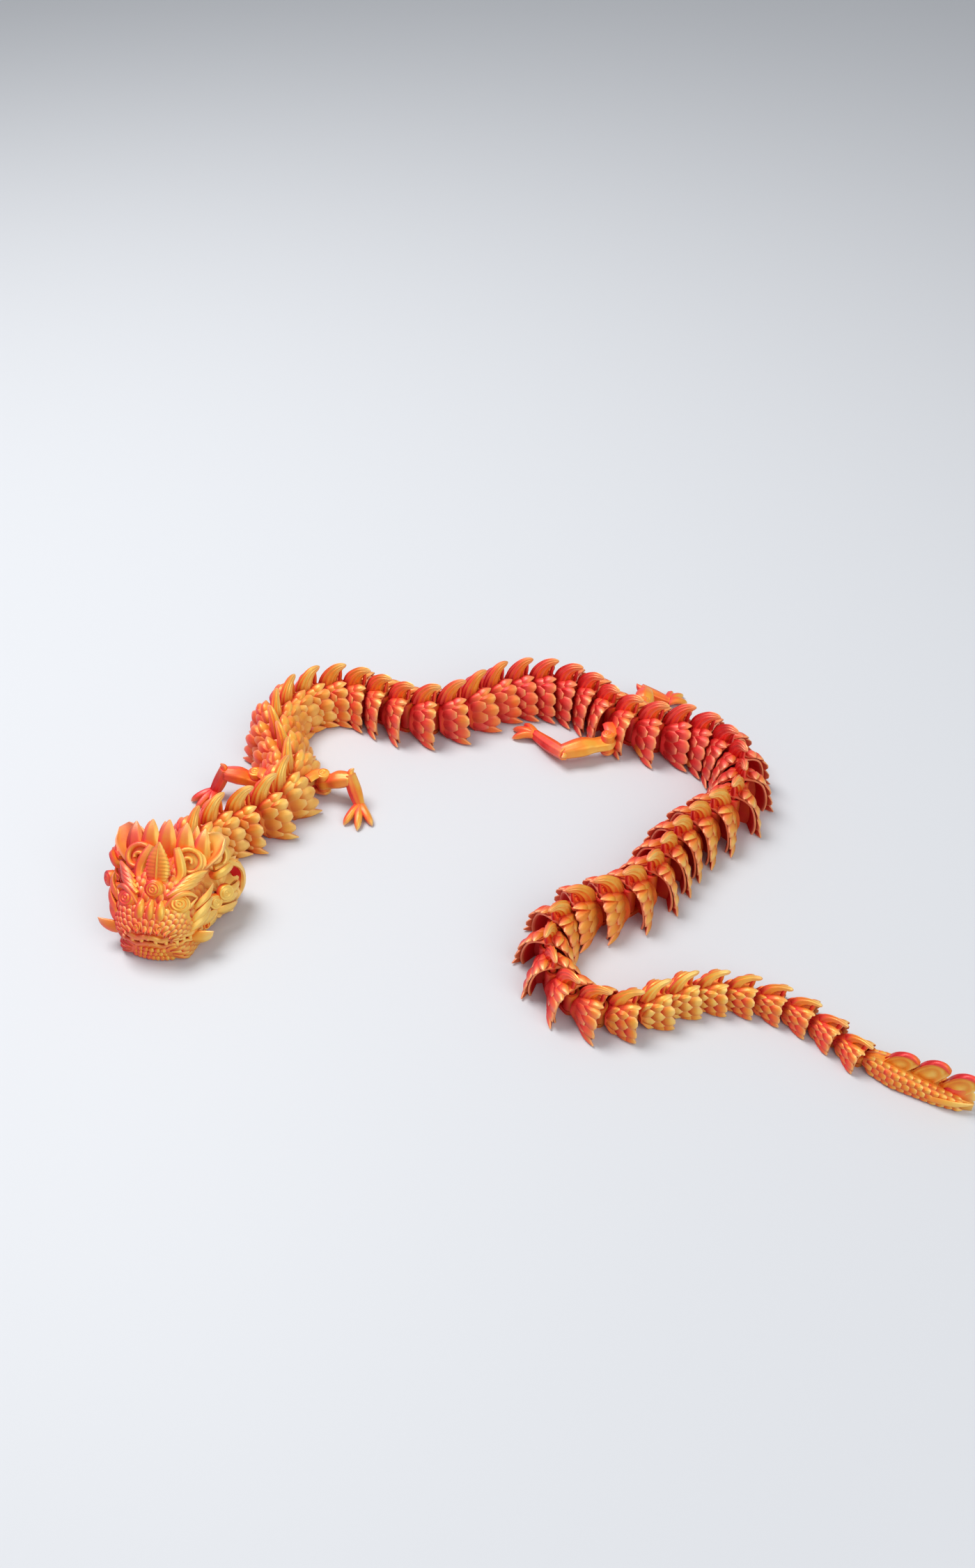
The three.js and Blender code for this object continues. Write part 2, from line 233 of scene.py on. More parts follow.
def rosette(shape, centre, normal, radius, height, ridges, ridge, stretch=1.0, **hints):
    """A round boss with concentric ridges, standing on a surface with that normal. stretch
    makes it wider along y."""
    normal = unit(np.asarray(normal, float))
    side = unit(np.array([0, 1, 0]) - normal * normal[1])
    up = np.cross(normal, side)
    steps, around = 6 * ridges + 1, 28
    r = np.linspace(0.02, 1, steps)
    lift = height * np.sqrt(np.maximum(1 - r**2, 0)) + ridge * np.cos(2 * math.pi * ridges * r)
    angle = np.linspace(0, 2 * math.pi, around, endpoint=False)
    rings = [
        np.asarray(centre) + normal * z
        + side * (radius * stretch * q * np.cos(angle))[:, None]
        + up * (radius * q * np.sin(angle))[:, None]
        for q, z in zip(r, lift)
    ]
    rings.append(rings[-1] - normal * (height + 1.5))
    loft(shape, np.stack(rings), **hints)


def volute(shape, centre, normal, start, radius, thick, turns=1.6, hand=1, **hints):
    """A spiral curl that winds in towards its centre, in the plane with that normal."""
    normal = unit(np.asarray(normal, float))
    side = unit(np.asarray(start, float) - normal * np.dot(normal, start))
    up = np.cross(normal, side) * hand
    steps = 11 * math.ceil(turns * 2)
    t = np.linspace(0, 1, steps)
    angle = 2 * math.pi * turns * t
    r = radius * (1 - 0.86 * t)
    rise = radius * 0.25 * t
    path = np.asarray(centre) + side * (r * np.cos(angle))[:, None]
    path = path + up * (r * np.sin(angle))[:, None] + normal * rise[:, None]
    half = radius * 0.17
    limb(shape, path, [thick] * 4, [half, half * 1.1, half, half * 0.7], normal, along=steps,
         around=12, **hints)
    rosette(shape, np.asarray(centre) - normal * thick, normal, radius * 1.05, thick, 1, 0.02,
            **hints)


# ---- Skins: the smooth surfaces that scales sit on ----
# Half of the body's arch from the middle of the back to the keel, as parts of half-width and
# height.
HALF_ARCH = [(0, 1.0), (0.25, 1.0), (0.5, 0.965), (0.74, 0.85), (0.9, 0.63), (0.99, 0.36),
             (0.99, 0.14), (0.93, 0.0)]
STEP = 1e-3


def skin_of(stations):
    """A surface through stations of [x, half-width, bottom, top]. It gives the point at x and t,
    t from -1 at the right keel to 1 at the left one, lifted off the surface."""
    xs, widths, bottoms, tops = np.asarray(stations, float).T

    def line(x, values):
        slope = (values[-1] - values[-2]) / (xs[-1] - xs[-2])
        return np.interp(x, xs, values) + np.maximum(x - xs[-1], 0) * slope

    def bare(x, t):
        part = curve(HALF_ARCH, np.abs(t))
        bottom = line(x, bottoms)
        y = np.sign(t) * part[..., 0] * line(x, widths)
        return np.stack([x, y, bottom + part[..., 1] * (line(x, tops) - bottom)], -1)

    def skin(x, t, lift=0.0):
        x, t = np.broadcast_arrays(np.asarray(x, float), np.asarray(t, float))
        t = np.clip(t, -1, 1)
        along = bare(x + STEP, t) - bare(x - STEP, t)
        over = bare(x, t + STEP) - bare(x, t - STEP)
        normal = unit(np.cross(along, over))
        return bare(x, t) + normal * np.asarray(lift, float)[..., None]

    return skin


ROUND_SCALE = [0.5, 0.86, 1.0, 1.0, 0.84, 0.3]
KEEL_SCALE = [0.55, 0.95, 1.0, 0.8, 0.42, 0.05]


def scale(shape, skin, x, t, length, spread, rise, bulge, outline=ROUND_SCALE, silk=0.0,
          rows=9, columns=9, lift=0.0):
    """A domed scale on a skin, rooted at x and t: spread is its half-width in t, rise how far
    its tip stands off, and lift how far its root does."""
    a = np.linspace(0, 1, rows)[:, None]
    b = np.linspace(-1, 1, columns)[None, :]
    half = profile(outline, a[:, 0])[:, None] * spread
    along = x + a * length + 0 * b
    over = t + b * half
    swell = np.sin(math.pi * np.clip(0.1 + 0.84 * a, 0, 1)) ** 0.8
    ridge = 0.3 * np.exp(-((b / 0.2) ** 2)) * np.sin(math.pi * a)
    dome = bulge * swell * ((1 - 0.97 * b**2) ** 0.6 + ridge)
    top = skin(along, over, lift + rise * a + dome)
    under = skin(along, over, lift + rise * a - 0.2 - 0.8 * (1 - a) + 0 * b)
    # Painted highlight on the scale's side edges and tip.
    rim = np.maximum(np.abs(b) ** 6, a**8)
    # Painted shade: dark red at the scale's root, a little at its sides, and strong on its underside.
    crease_shade = np.maximum(0.85 * (1 - a) ** 1.6 + 0 * b, 0.4 * np.abs(b) ** 8)
    plate(shape, top, under, silk=silk + 0.12 * a - 0.06 + 0 * b, depth=crease_shade, inner_painted_shade=0.8,
          edge=0.8 * rim)


# ---- Body segments ----
SMALL_SCALES_BELOW = 0.74  # the size of a segment that has small scales and fewer flutes
FRONT_SINK = 1.2  # how deep the front scales are rooted, to pass inside the skirt ahead


def sizes(size):
    pin = PIN_RADIUS * (0.5 + 0.5 * size)
    neck = HALF_WIDTH * size * (0.44 + 0.16 * size)
    return {
        "size": size, "width": HALF_WIDTH * size, "roof": ROOF * size, "fin": FIN_TIP * size,
        "wall": WALL * (0.6 + 0.4 * size), "pin": pin, "bore": pin + CLEARANCE,
        "eye": pin + CLEARANCE + EYE_WALL, "neck": neck,
        "eye_top": ROOF * size - CAP - CLEARANCE - 2.4 * (1 - size),
    }


def sleeve(shape, skin, start, end, wall):
    """The hollow rear skirt of a link, open behind and below, thinner towards its rim."""
    x = np.linspace(start, end, 6)[:, None]
    t = np.linspace(-1, 1, 41)[None, :]
    far = (x - start) / (end - start) + 0 * t
    outer, inner = skin(x, t, 0 * far), skin(x, t, -wall * (1 - 0.5 * far))
    rim = far**12
    # Painted shade inside the skirt, fading at the rim, and a painted highlight on the rim.
    plate(shape, outer, inner, inner_painted_shade=1 - 0.7 * rim, edge=0.6 * rim, silk=-0.05)


def core(shape, skin, xs, silk=0.0, **hints):
    t = np.linspace(-1, 1, 33)
    loft(shape, np.stack([skin(x + 0 * t, t, 0 * t) for x in xs]), silk=silk, **hints)


def captive_pin(shape, x, s):
    """The pin inside a skirt and the tongue that holds its foot."""
    reach = s["pin"] + 1.8
    # The pin and the tongue are painted dark as shade.
    post(shape, x, 0, s["pin"], FLOOR / 2, s["roof"] - CAP / 2, silk=-0.2, depth=0.25)
    angle = np.linspace(-math.pi / 2, math.pi / 2, 9)
    end = np.stack([x + reach * 0.85 * np.cos(angle), reach * np.sin(angle)], -1)
    outline = np.concatenate([end, [[x - 5.4, reach], [x - 5.4, -reach]]])
    rings = [np.column_stack([outline, np.full(len(outline), z)]) for z in (0.0, FLOOR)]
    loft(shape, np.stack(rings), depth=0.5)


def hinge_eye(shape, s):
    """The eye that turns round the pin of the link ahead."""
    low, high = FLOOR + CLEARANCE + 0.1, s["eye_top"]
    # The eye is painted dark as shade.
    turned(shape, 0, 0, [(s["bore"], low), (s["eye"], low), (s["eye"], high), (s["bore"], high)],
           silk=-0.1, depth=0.35)


def back_fin(shape, s, silk):
    """The tall fluted claw on the back, and a shorter one behind it on each side."""
    size, roof, tip = s["size"], s["roof"], s["fin"]
    rise = tip - roof
    path = [(6.6, 0, roof - 2.6 * size), (7.6, 0, roof + 0.2 * rise), (9.4, 0, roof + 0.56 * rise),
            (12.3, 0, roof + 0.84 * rise), (16.5, 0, tip - 0.5)]
    flutes = 10 if size > SMALL_SCALES_BELOW else 6
    # The claws are painted dark at their roots as shade and pale at their tips as a highlight.
    limb(shape, path,
         [4.5 * size + 0.3, 3.9 * size + 0.3, 3.0 * size + 0.3, 2.1 * size + 0.3, 1.15],
         [3.3 * size, 2.9 * size, 2.3 * size, 1.7 * size, 0.9], (0.5, 0, -0.87), along=18,
         around=36, tip=0.12, ripple=fluted(flutes, 0.2),
         silk=(silk - 0.16, silk - 0.02, silk + 0.06, silk + 0.1),
         edge=(0, 0, 0.1, 0.8), depth=(0.5, 0.05, 0, 0))
    web = [(12.6, 0, roof - 1.2), (13.2, 0, roof + 0.3 * rise), (13.6, 0, roof + 0.62 * rise)]
    limb(shape, web, [1.4 * size, 1.2 * size, 0.8 * size], [0.9, 0.9, 0.6], (0, 1, 0), along=7,
         around=12, silk=-0.3)
    for side in (1, -1):
        low = [(8.0, side * 3.6 * size, roof - 2.4 * size),
               (11.2, side * 5.0 * size, roof + 0.6 * size),
               (15.3, side * 5.6 * size, roof + 1.7 * size)]
        limb(shape, low, [2.7 * size, 2.6 * size, 0.8], [1.5 * size, 1.5 * size, 0.5],
             (0, 1, 0.2), along=11, around=20, ripple=fluted(6, 0.12), tip=0.25,
             silk=(silk - 0.1, silk, silk + 0.05), edge=(0, 0, 0.7), depth=(0.4, 0, 0))


def body_scales(shape, skin, side, lift, rng):
    """Two staggered columns of large scales."""
    for row in (0.28, 0.46, 0.64, 0.82):
        scale(shape, skin, 2.3, side * row, 8.2, 0.125, 2.9 * lift, 0.95 * lift,
              silk=rng.uniform(-0.07, 0.05), lift=-FRONT_SINK)
    for row in (0.37, 0.55, 0.73):
        scale(shape, skin, 7.0, side * row, 8.5, 0.112, 1.0 * lift, 1.6 * lift,
              silk=rng.uniform(-0.05, 0.07))


def tail_scales(shape, skin, side, lift, rng):
    """Three staggered columns of small round scales."""
    for column, x in enumerate((1.9, 5.4, 8.9)):
        for row in (0.3, 0.5, 0.7, 0.88):
            t = row + (0.09 if column % 2 else 0)
            if t < 0.9:
                scale(shape, skin, x, side * t, 5.6, 0.118, 1.4 * lift, 1.35 * lift,
                      silk=rng.uniform(-0.06, 0.1), rows=8, columns=7, lift=(column - 2) * 0.4)


def segment(shape, s, rng):
    size = s["size"]
    rear = PITCH + SKIRT
    inset = min(4.4, s["roof"] * 0.33)
    skin = skin_of([
        (NECK_X, s["neck"], inset, s["roof"] - inset),
        (BODY_X, s["neck"] + 0.3, 0, s["roof"] - 1.3),
        (rear, s["width"], 0, s["roof"]),
    ])
    # The core inside the skirts is painted half dark as shade.
    core(shape, skin, (NECK_X, 3.0, 4.2, BODY_X, 6.6, 8.1), depth=0.55, silk=-0.1)
    sleeve(shape, skin, 7.7, rear, s["wall"])
    hinge_eye(shape, s)
    captive_pin(shape, PITCH, s)
    lift = 0.35 + 0.65 * size
    small = size < SMALL_SCALES_BELOW
    scales = tail_scales if small else body_scales
    keel, flare = (8.8, 1.4) if small else (10.8, 2.3)
    for side in (1, -1):
        scales(shape, skin, side, lift, rng)
        scale(shape, skin, 5.4, side * 0.893, keel, 0.13, (flare + 0.5) * lift, 1.4 * lift,
              KEEL_SCALE, rng.uniform(-0.04, 0.08), lift=-0.5)
        scale(shape, skin, 6.2, side * 0.19, 7.2, 0.1, 0.8 * lift, 0.8 * lift,
              silk=rng.uniform(-0.08, 0.02))
    back_fin(shape, s, rng.uniform(0.0, 0.08))


def leg_lugs(shape, side):
    """Two lugs on one flank, with the leg's captive pin between them."""
    x, y = LEG_PIN
    low, high = LEG_EYE[0] - CLEARANCE, LEG_EYE[1] + CLEARANCE
    angle = np.linspace(0, math.pi, 13)
    cap = np.stack([x + 3 * np.cos(angle), y + 3 * np.sin(angle)], -1)
    outline = np.concatenate([cap, [[x - 1.6, 10.5], [x + 0.4, 7.5], [x + 3, 8.6]]])
    outline[:, 1] *= side
    # The lugs carry a faint painted highlight, the pin painted shade, and the skirt a painted
    # highlight at its end.
    for bottom in (low - LUG, high):
        levels = (bottom, bottom + 0.25, bottom + LUG - 0.25, bottom + LUG)
        insets = (0.93, 1, 1, 0.93)
        middle = np.array([x, side * y])
        rings = [
            np.column_stack([middle + (outline - middle) * part, np.full(len(outline), z)])
            for z, part in zip(levels, insets)
        ]
        loft(shape, np.stack(rings), edge=0.25)
    post(shape, x, side * y, LEG_PIN_RADIUS, low - LUG / 2, high + LUG / 2, depth=0.4)
    rosette(shape, (x, side * y, high + LUG - 0.3), (0, 0, 1), 3.1, 1.3, 2, 0.14, silk=0.05)
    skirt = [(x - 3.6, side * 8.5, high + 1.2), (x - 1.0, side * 11.2, high + 1.5),
             (x + 0.8, side * 14.2, high + 1.4)]
    limb(shape, skirt, [3.4, 3.3, 2.4], [1.5, 1.3, 0.8], (1, 0, 0), along=10, around=20,
         ripple=fluted(6, 0.1), edge=(0, 0, 0.3))


# ---- Legs ----
FOOT_HEIGHT = 4.6
TOE_SPREAD = math.radians(32)
LEGS = {
    "front_left_leg": dict(knee=(-1, 14, 12.5), ankle=(-3, 19, 4), thigh=3.9, shin=3.0,
                           toes=145, reach=11, side=1),
    "front_right_leg": dict(knee=(-3, 13, 12.5), ankle=(-10, 17, 4), thigh=3.9, shin=3.0,
                            toes=180, reach=12, side=-1),
    "hind_left_leg": dict(knee=(-6, 12, 7.5), ankle=(4, 17, 4), thigh=4.4, shin=3.2,
                          toes=78, reach=10, side=1),
    "hind_right_leg": dict(knee=(-14, 17, 6.5), ankle=(-33, 11, 4), thigh=4.4, shin=3.2,
                           toes=175, reach=11, side=-1),
}


def leg(shape, knee, ankle, thigh, shin, toes, reach, side):
    low, high = LEG_EYE
    knee, ankle = np.array(knee, float), np.array(ankle, float)
    hub = np.array([0, 0, (low + high) / 2])
    bore = LEG_PIN_RADIUS + CLEARANCE
    ring = [(bore, low), (LEG_EYE_RADIUS, low), (LEG_EYE_RADIUS, high), (bore, high)]
    # The eye is painted a little dark as shade; the knee and the tips of the spur and the toes are
    # painted pale as highlights.
    turned(shape, 0, 0, ring, depth=0.1)
    out = unit(knee - hub)
    start = hub - out * 0.6
    middle = hub + (knee - hub) * 0.56
    middle[2] += 0.6
    neck = (start + middle) / 2
    neck[2] -= 0.2
    limb(shape, [hub - out * 4.2, start, neck, middle, knee], [0.8, 3.3, 3.3, thigh, thigh * 0.8],
         [1.0, 4.2, 4.0, thigh * 1.15, thigh * 0.85], (0, 0, 1), along=24, around=30,
         ripple=fluted(7, 0.08), silk=(0.12, 0.12, 0.12, 0.06, 0), edge=(0, 0, 0, 0, 0.2))
    heel = np.array([ankle[0], ankle[1], FOOT_HEIGHT * 0.5])
    down = unit(heel - knee)
    back = knee - down * thigh * 0.6
    calf = knee + (heel - knee) * 0.4
    limb(shape, [back, calf, heel + (0, 0, 0.6)], [thigh * 0.72, shin * 1.05, shin * 0.9],
         [thigh * 0.72, shin * 1.1, shin * 0.8], (0, 0, 1), along=16, around=28,
         ripple=fluted(8, 0.14), silk=(0, -0.16, -0.12), edge=(0.3, 0, 0))
    elbow = knee - down * thigh * 0.3
    limb(shape, [elbow, elbow - down * 2.4 + out * 1.2, elbow - down * 3.6 + out * 3.0],
         [thigh * 0.55, 1.5, 0.35], [thigh * 0.5, 1.3, 0.3], (0, 0, 1), along=8, around=12,
         silk=0.05, edge=(0, 0, 0.8))
    for toe in (-1, 0, 1):
        heading = math.radians(toes) + toe * TOE_SPREAD
        ahead = np.array([math.cos(heading), math.sin(heading), 0])
        far = reach * (1.12 if toe == 0 else 1)
        path = [heel + (0, 0, 0.9), heel + ahead * far * 0.42 + (0, 0, 1.1),
                heel + ahead * far * 0.8 + (0, 0, -0.3), heel + ahead * far + (0, 0, -1.6)]
        limb(shape, path, [2.6, 2.0, 1.6, 0.3], [2.1, 1.9, 1.5, 0.35], np.cross(ahead, (0, 0, 1)),
             along=14, around=18, ripple=fluted(5, 0.12), tip=0.1, silk=(-0.1, -0.05, 0, 0.05),
             edge=(0, 0, 0.1, 0.9))
    for points in shape.points:
        points[:, 1] *= side


# ---- Tail tip ----
TIP_LENGTH = 43.0
LOBES = ((4.5, 15.5), (15.5, 18.0), (26.5, 17.2))
LOBE_LENGTH = 13.5


def tail_tip(shape, rng):
    s = sizes(TAIL_SIZE)
    skin = skin_of([
        (NECK_X, s["neck"], 2.9, s["roof"] - 2.9), (BODY_X, s["neck"] + 0.3, 0, s["roof"] - 1.3),
        (14, 5.4, 0, 7.4), (30, 4.8, 0, 6.2), (38, 3.2, 0, 5.0), (TIP_LENGTH, 1.0, 0, 3.2),
    ])
    # The core is painted a little dark as shade; the side ridges and the end fin are painted pale
    # towards their tips as highlights.
    core(shape, skin, (NECK_X, 3.4, BODY_X, 9, 16, 22, 28, 32, 36, 40, TIP_LENGTH), depth=0.2)
    hinge_eye(shape, s)
    for side in (1, -1):
        for column in range(12):
            for row, t in enumerate((0.3, 0.48, 0.66, 0.84)):
                x = 2.0 + 2.9 * column + (1.45 if row % 2 else 0)
                scale(shape, skin, x, side * t, 4.4, 0.115, 0.5, 0.75, silk=rng.uniform(-0.1, 0.12),
                      rows=7, columns=7)
        low = [(24, side * 4.6, 1.2), (31, side * 5.0, 3.0), (37, side * 4.0, 3.6),
               (TIP_LENGTH, side * 1.6, 4.6)]
        limb(shape, low, [1.0, 1.6, 1.5, 0.4], [0.8, 1.0, 0.9, 0.4], (0, 0, 1), along=18,
             around=16, ripple=fluted(4, 0.14), tip=0.15, silk=0.1, edge=(0, 0.1, 0.2, 0.5))
    for x, height in LOBES:
        tail_lobe(shape, x, height)
    end = [(32, 0, 4.2), (36, 0, 5.4), (39.5, 0, 6.0), (TIP_LENGTH, 0, 5.4)]
    limb(shape, end, [2.6, 4.0, 4.0, 1.8], [1.5, 1.6, 1.3, 0.7], (0, 0, 1), along=20, around=20,
         tip=0.2, silk=(-0.3, -0.35, -0.1, 0.2), edge=(0, 0, 0.2, 0.5))


def tail_lobe(shape, x, height):
    """An upright lobe, blunt behind, with a thick ridged top rim round a hollow on each side. Its
    sides are painted dark as shade away from the ridges and the boss, and its rear lip is painted pale
    as a highlight.
    """
    a = np.linspace(0, 1, 21)[:, None]
    b = np.linspace(0, 1, 27)[None, :]
    bottom = 3.0
    top = profile([0.44, 0.78, 0.94, 1.0, 0.98, 0.86], a[:, 0])[:, None] * height
    up = bottom + b * (top - bottom)
    along = x + LOBE_LENGTH * a * (0.8 + 0.2 * b) + 4.2 * b - 1.2 * b**8 * a**4
    band = 1 / (1 + np.exp(-(b - 0.9) / 0.015)) + 0 * a
    rear = 1 / (1 + np.exp(-(a - 0.93) / 0.02)) * (b > 0.3)
    lip = np.maximum(band, rear)
    boss = np.exp(-((a - 0.62) / 0.2) ** 2 - ((b - 0.42) / 0.2) ** 2)
    ring = np.exp(-((np.hypot((a - 0.6) / 0.34, (b - 0.45) / 0.36) - 1) / 0.16) ** 2)
    thick = 0.6 + 0.75 * lip + 0.7 * boss + 0.35 * ring
    thick = thick * np.sqrt(1 - 0.85 * np.maximum(b**24 + 0 * a, a**24 + 0 * b))
    outer = np.stack([along, thick, up], -1)
    plate(shape, outer, outer * (1, -1, 1), silk=0.16 - 0.62 * band + 0.1 * boss,
          edge=0.35 * rear * (1 - band), depth=0.3 * np.clip(1 - ring - lip - boss, 0, 1) ** 2)


# ---- Head ----
# The head looks along -x, with its rear hinge axis at the origin.
# Across the head, the tips and rims of leaves, teeth, lids, lips, knobs and curls are painted paler as
# highlights.
SKULL = [
    (-45.6, 10.2, 12.6, 17.2), (-44.2, 13.0, 12.2, 18.8), (-41, 15.0, 12.0, 21.2),
    (-36, 16.4, 11.0, 24.6), (-30, 17.2, 7.0, 27.4), (-22, 17.6, 0.6, 29), (-15, 16.8, 0.3, 28),
    (-8, 13, 0.3, 24),
]
JAW = [
    (-46.0, 9.6, 3.2, 9.6), (-45.0, 12.4, 1.4, 10.8), (-42.5, 14.2, 0.2, 11.2),
    (-36, 15.6, 0.05, 11.4), (-28, 16.2, 0.05, 11.8), (-18, 15.4, 0.05, 12),
]
GUM = [(-43.8, 10.6, 7, 16), (-40, 13.2, 6, 18), (-24, 14.8, 4, 20)]
EYE_PLACE = (-35.4, 10.6, 23.4)
RED_TO_THE_LEFT = 0.009  # how much redder each millimetre to the left is


def mirrored_y(point, side):
    return np.array([point[0], point[1] * side, point[2]], float)


def leaf(shape, root, tip, wide, thick, across, bow=(0, 0, 0), flutes=4, groove=0.16, blunt=0.3,
         **hints):
    """A pointed leaf from root to tip, bowed at its middle."""
    root, tip = np.array(root, float), np.array(tip, float)
    middle = (root + tip) / 2 + np.array(bow, float)
    path = [root, (root + middle) / 2 + np.array(bow) * 0.25, middle, (middle + tip) / 2
            + np.array(bow) * 0.25, tip]
    limb(shape, path, [wide * 0.62, wide, wide * 0.96, wide * 0.68, blunt],
         [thick, thick, thick * 0.85, thick * 0.6, 0.3], across, along=15, around=26,
         ripple=fluted(2 * flutes, groove), tip=0.18, **hints)


def ear(shape, side):
    """A large leaf ear, hollow on its front, with a thick rim."""
    rows, columns = 15, 15
    a = np.linspace(0, 1, rows)[:, None]
    b = np.linspace(-1, 1, columns)[None, :]
    spine = curve([mirrored_y(p, side) for p in
                   ((-20, 9, 24), (-16, 12.5, 29), (-11.5, 16.5, 32.5), (-6.5, 20.5, 34.5))],
                  a[:, 0])
    along = unit(np.gradient(spine, axis=0))
    face = unit(np.array([-0.72, -0.25 * side, 0.62]))
    over = unit(np.cross(along, face))
    half = profile([3.0, 5.4, 6.3, 6.0, 2.2], a[:, 0])[:, None]
    dish = 1.9 * (1 - b**2) * np.sin(math.pi * a * 0.92)
    place = spine[:, None] + over[:, None] * (b * half)[..., None]
    front = place - face * dish[..., None]
    back = place - face * (dish + 1.5)[..., None]
    rim = np.maximum(np.abs(b) ** 6 + 0 * a, a**8 + 0 * b)
    lip = 0.7 * np.exp(-(((np.abs(b) - 0.86) / 0.1) ** 2)) * (1 - a**6)
    front = front + face * lip[..., None]
    # Painted highlight on the ear's rim; painted shade along the middle of its hollow near the root
    # and on its back.
    plate(shape, front, back, silk=0.16 - 0.1 * a + 0 * b, edge=0.8 * rim,
          depth=0.25 * np.exp(-((b / 0.12) ** 2)) * (1 - a), inner_painted_shade=0.2)


def side_fan(shape, side):
    """The round cheek fan behind the jaw: a thick rimmed shell with a slot painted dark red as shade,
    and ring curls.
    """
    rows, columns = 17, 25
    r = np.linspace(0.02, 1, rows)[:, None]
    angle = np.linspace(-0.78 * math.pi, 0.78 * math.pi, columns)[None, :]
    centre = mirrored_y((-17.5, 19.2, 13.5), side)
    out = unit(np.array([-0.5, 0.72 * side, 0.28]))
    back = unit(np.array([0.78, 0.62 * side, 0.1]))
    back = unit(back - out * np.dot(back, out))
    rise = np.cross(back, out) * side
    scallop = 1 + 0.05 * np.cos(9 * angle) * r**2
    across = r * np.cos(angle) * 10.5 * scallop
    up = r * np.sin(angle) * 12.0 * scallop
    ridge = 0.95 * np.cos(9 * angle) * r * (r < 0.99)
    lip = 0.9 * np.exp(-(((r - 0.93) / 0.06) ** 2))
    lift = 2.4 * (1 - r**2) + (ridge + lip)
    face = centre + back * across[..., None] + rise * up[..., None]
    front = face + out * lift[..., None]
    rear = face - out * (1.4 + 0 * lift)[..., None]
    valley = 0.5 - 0.5 * np.cos(9 * angle)
    # Painted shade in the valleys between ridges and on the back, and a painted highlight towards the
    # outer rim.
    plate(shape, front, rear, silk=0.1 - 0.2 * valley + 0 * r, edge=(r**8) + 0 * angle,
          depth=0.35 * valley * r, inner_painted_shade=0.3)
    # The slot is painted dark red as shade.
    slot = [mirrored_y(p, side) for p in ((-14.5, 22.6, 24.2), (-10.4, 24.8, 21.4),
                                          (-8.8, 25.6, 15.5), (-9.8, 25.4, 9.5))]
    limb(shape, slot, [1.6, 2.6, 2.4, 1.2], [0.7, 0.8, 0.8, 0.6], (0.78, 0.62 * side, 0),
         along=16, around=14, depth=(0.9, 1.0, 1.0, 0.6))
    rim = [mirrored_y(p, side) for p in ((-17, 19.5, 26), (-10.5, 24.6, 23.6), (-6.8, 26.4, 16.5),
                                         (-8.6, 26.4, 8.5), (-14.5, 24.0, 3.2))]
    limb(shape, rim, [1.2, 1.9, 2.2, 1.9, 0.7], [1.0, 1.3, 1.4, 1.3, 0.6], (0.5, -0.4 * side, 0),
         along=26, around=18, ripple=fluted(6, 0.16), silk=0.08, edge=(0, 0.2, 0.3, 0.4, 0.6))
    for k in range(3):
        root = mirrored_y((-24 + 3.5 * k, 18.5 + 1.8 * k, 8 + 2.2 * k), side)
        tip = mirrored_y((-14 + 3.0 * k, 25.8 - 0.2 * k, 4.5 + 3.4 * k), side)
        leaf(shape, root, tip, 2.3, 1.2, (0, 0, 1), bow=(-1.2, 1.8 * side, 0.4), flutes=2,
             silk=-0.08 * (k % 2), edge=(0, 0.1, 0.3, 0.7))
    rings = ((-25.5, 21.5, 15.5, 3.0), (-21.5, 25.0, 17.5, 3.3), (-27.5, 19.8, 11, 2.5))
    for x, y, z, size in rings:
        rosette(shape, mirrored_y((x, y, z), side), (-0.6, 0.7 * side, 0.35), size, 1.0, 2, 0.22,
                silk=0.06)


def eye(shape, side):
    """A ringed eye between almond lids, with brows sweeping back over it."""
    centre = mirrored_y(EYE_PLACE, side)
    normal = (-0.62, 0.36 * side, 0.7)
    rosette(shape, centre, normal, 3.9, 1.9, 3, 0.2, stretch=1.18, silk=-0.04)
    inner = mirrored_y((-38.2, 5.2, 22.8), side)
    outer = mirrored_y((-30.6, 16.6, 23.0), side)
    for height, thick, silk in ((3.6, 1.0, -0.1), (-3.6, 0.9, 0.08)):
        bow = np.array([0.62 * height, 0, 0.8 * height]) + (-0.9, 0.5 * side, 0.8)
        middle = (inner + outer) / 2 + bow
        limb(shape, [inner, (inner + middle) / 2 + bow * 0.24, middle,
                     (outer + middle) / 2 + bow * 0.24, outer],
             [0.5, thick, thick, thick, 0.4], [0.5, thick, thick * 1.2, thick, 0.4], normal,
             along=18, around=12, silk=silk, edge=0.2)
    for k in range(4):
        root = mirrored_y((-35.0 + 2.1 * k, 6.0 + 1.2 * k, 26.4 + 0.5 * k), side)
        tip = mirrored_y((-25.5 + 1.8 * k, 16.2 + 0.7 * k, 25.8 + 0.6 * k), side)
        leaf(shape, root, tip, 1.5, 1.1, (0.5, -0.4 * side, 0.6), bow=(-0.4, 1.0 * side, 1.3),
             flutes=2, silk=0.08 * (k % 2) - 0.05, edge=(0, 0.1, 0.2, 0.5))


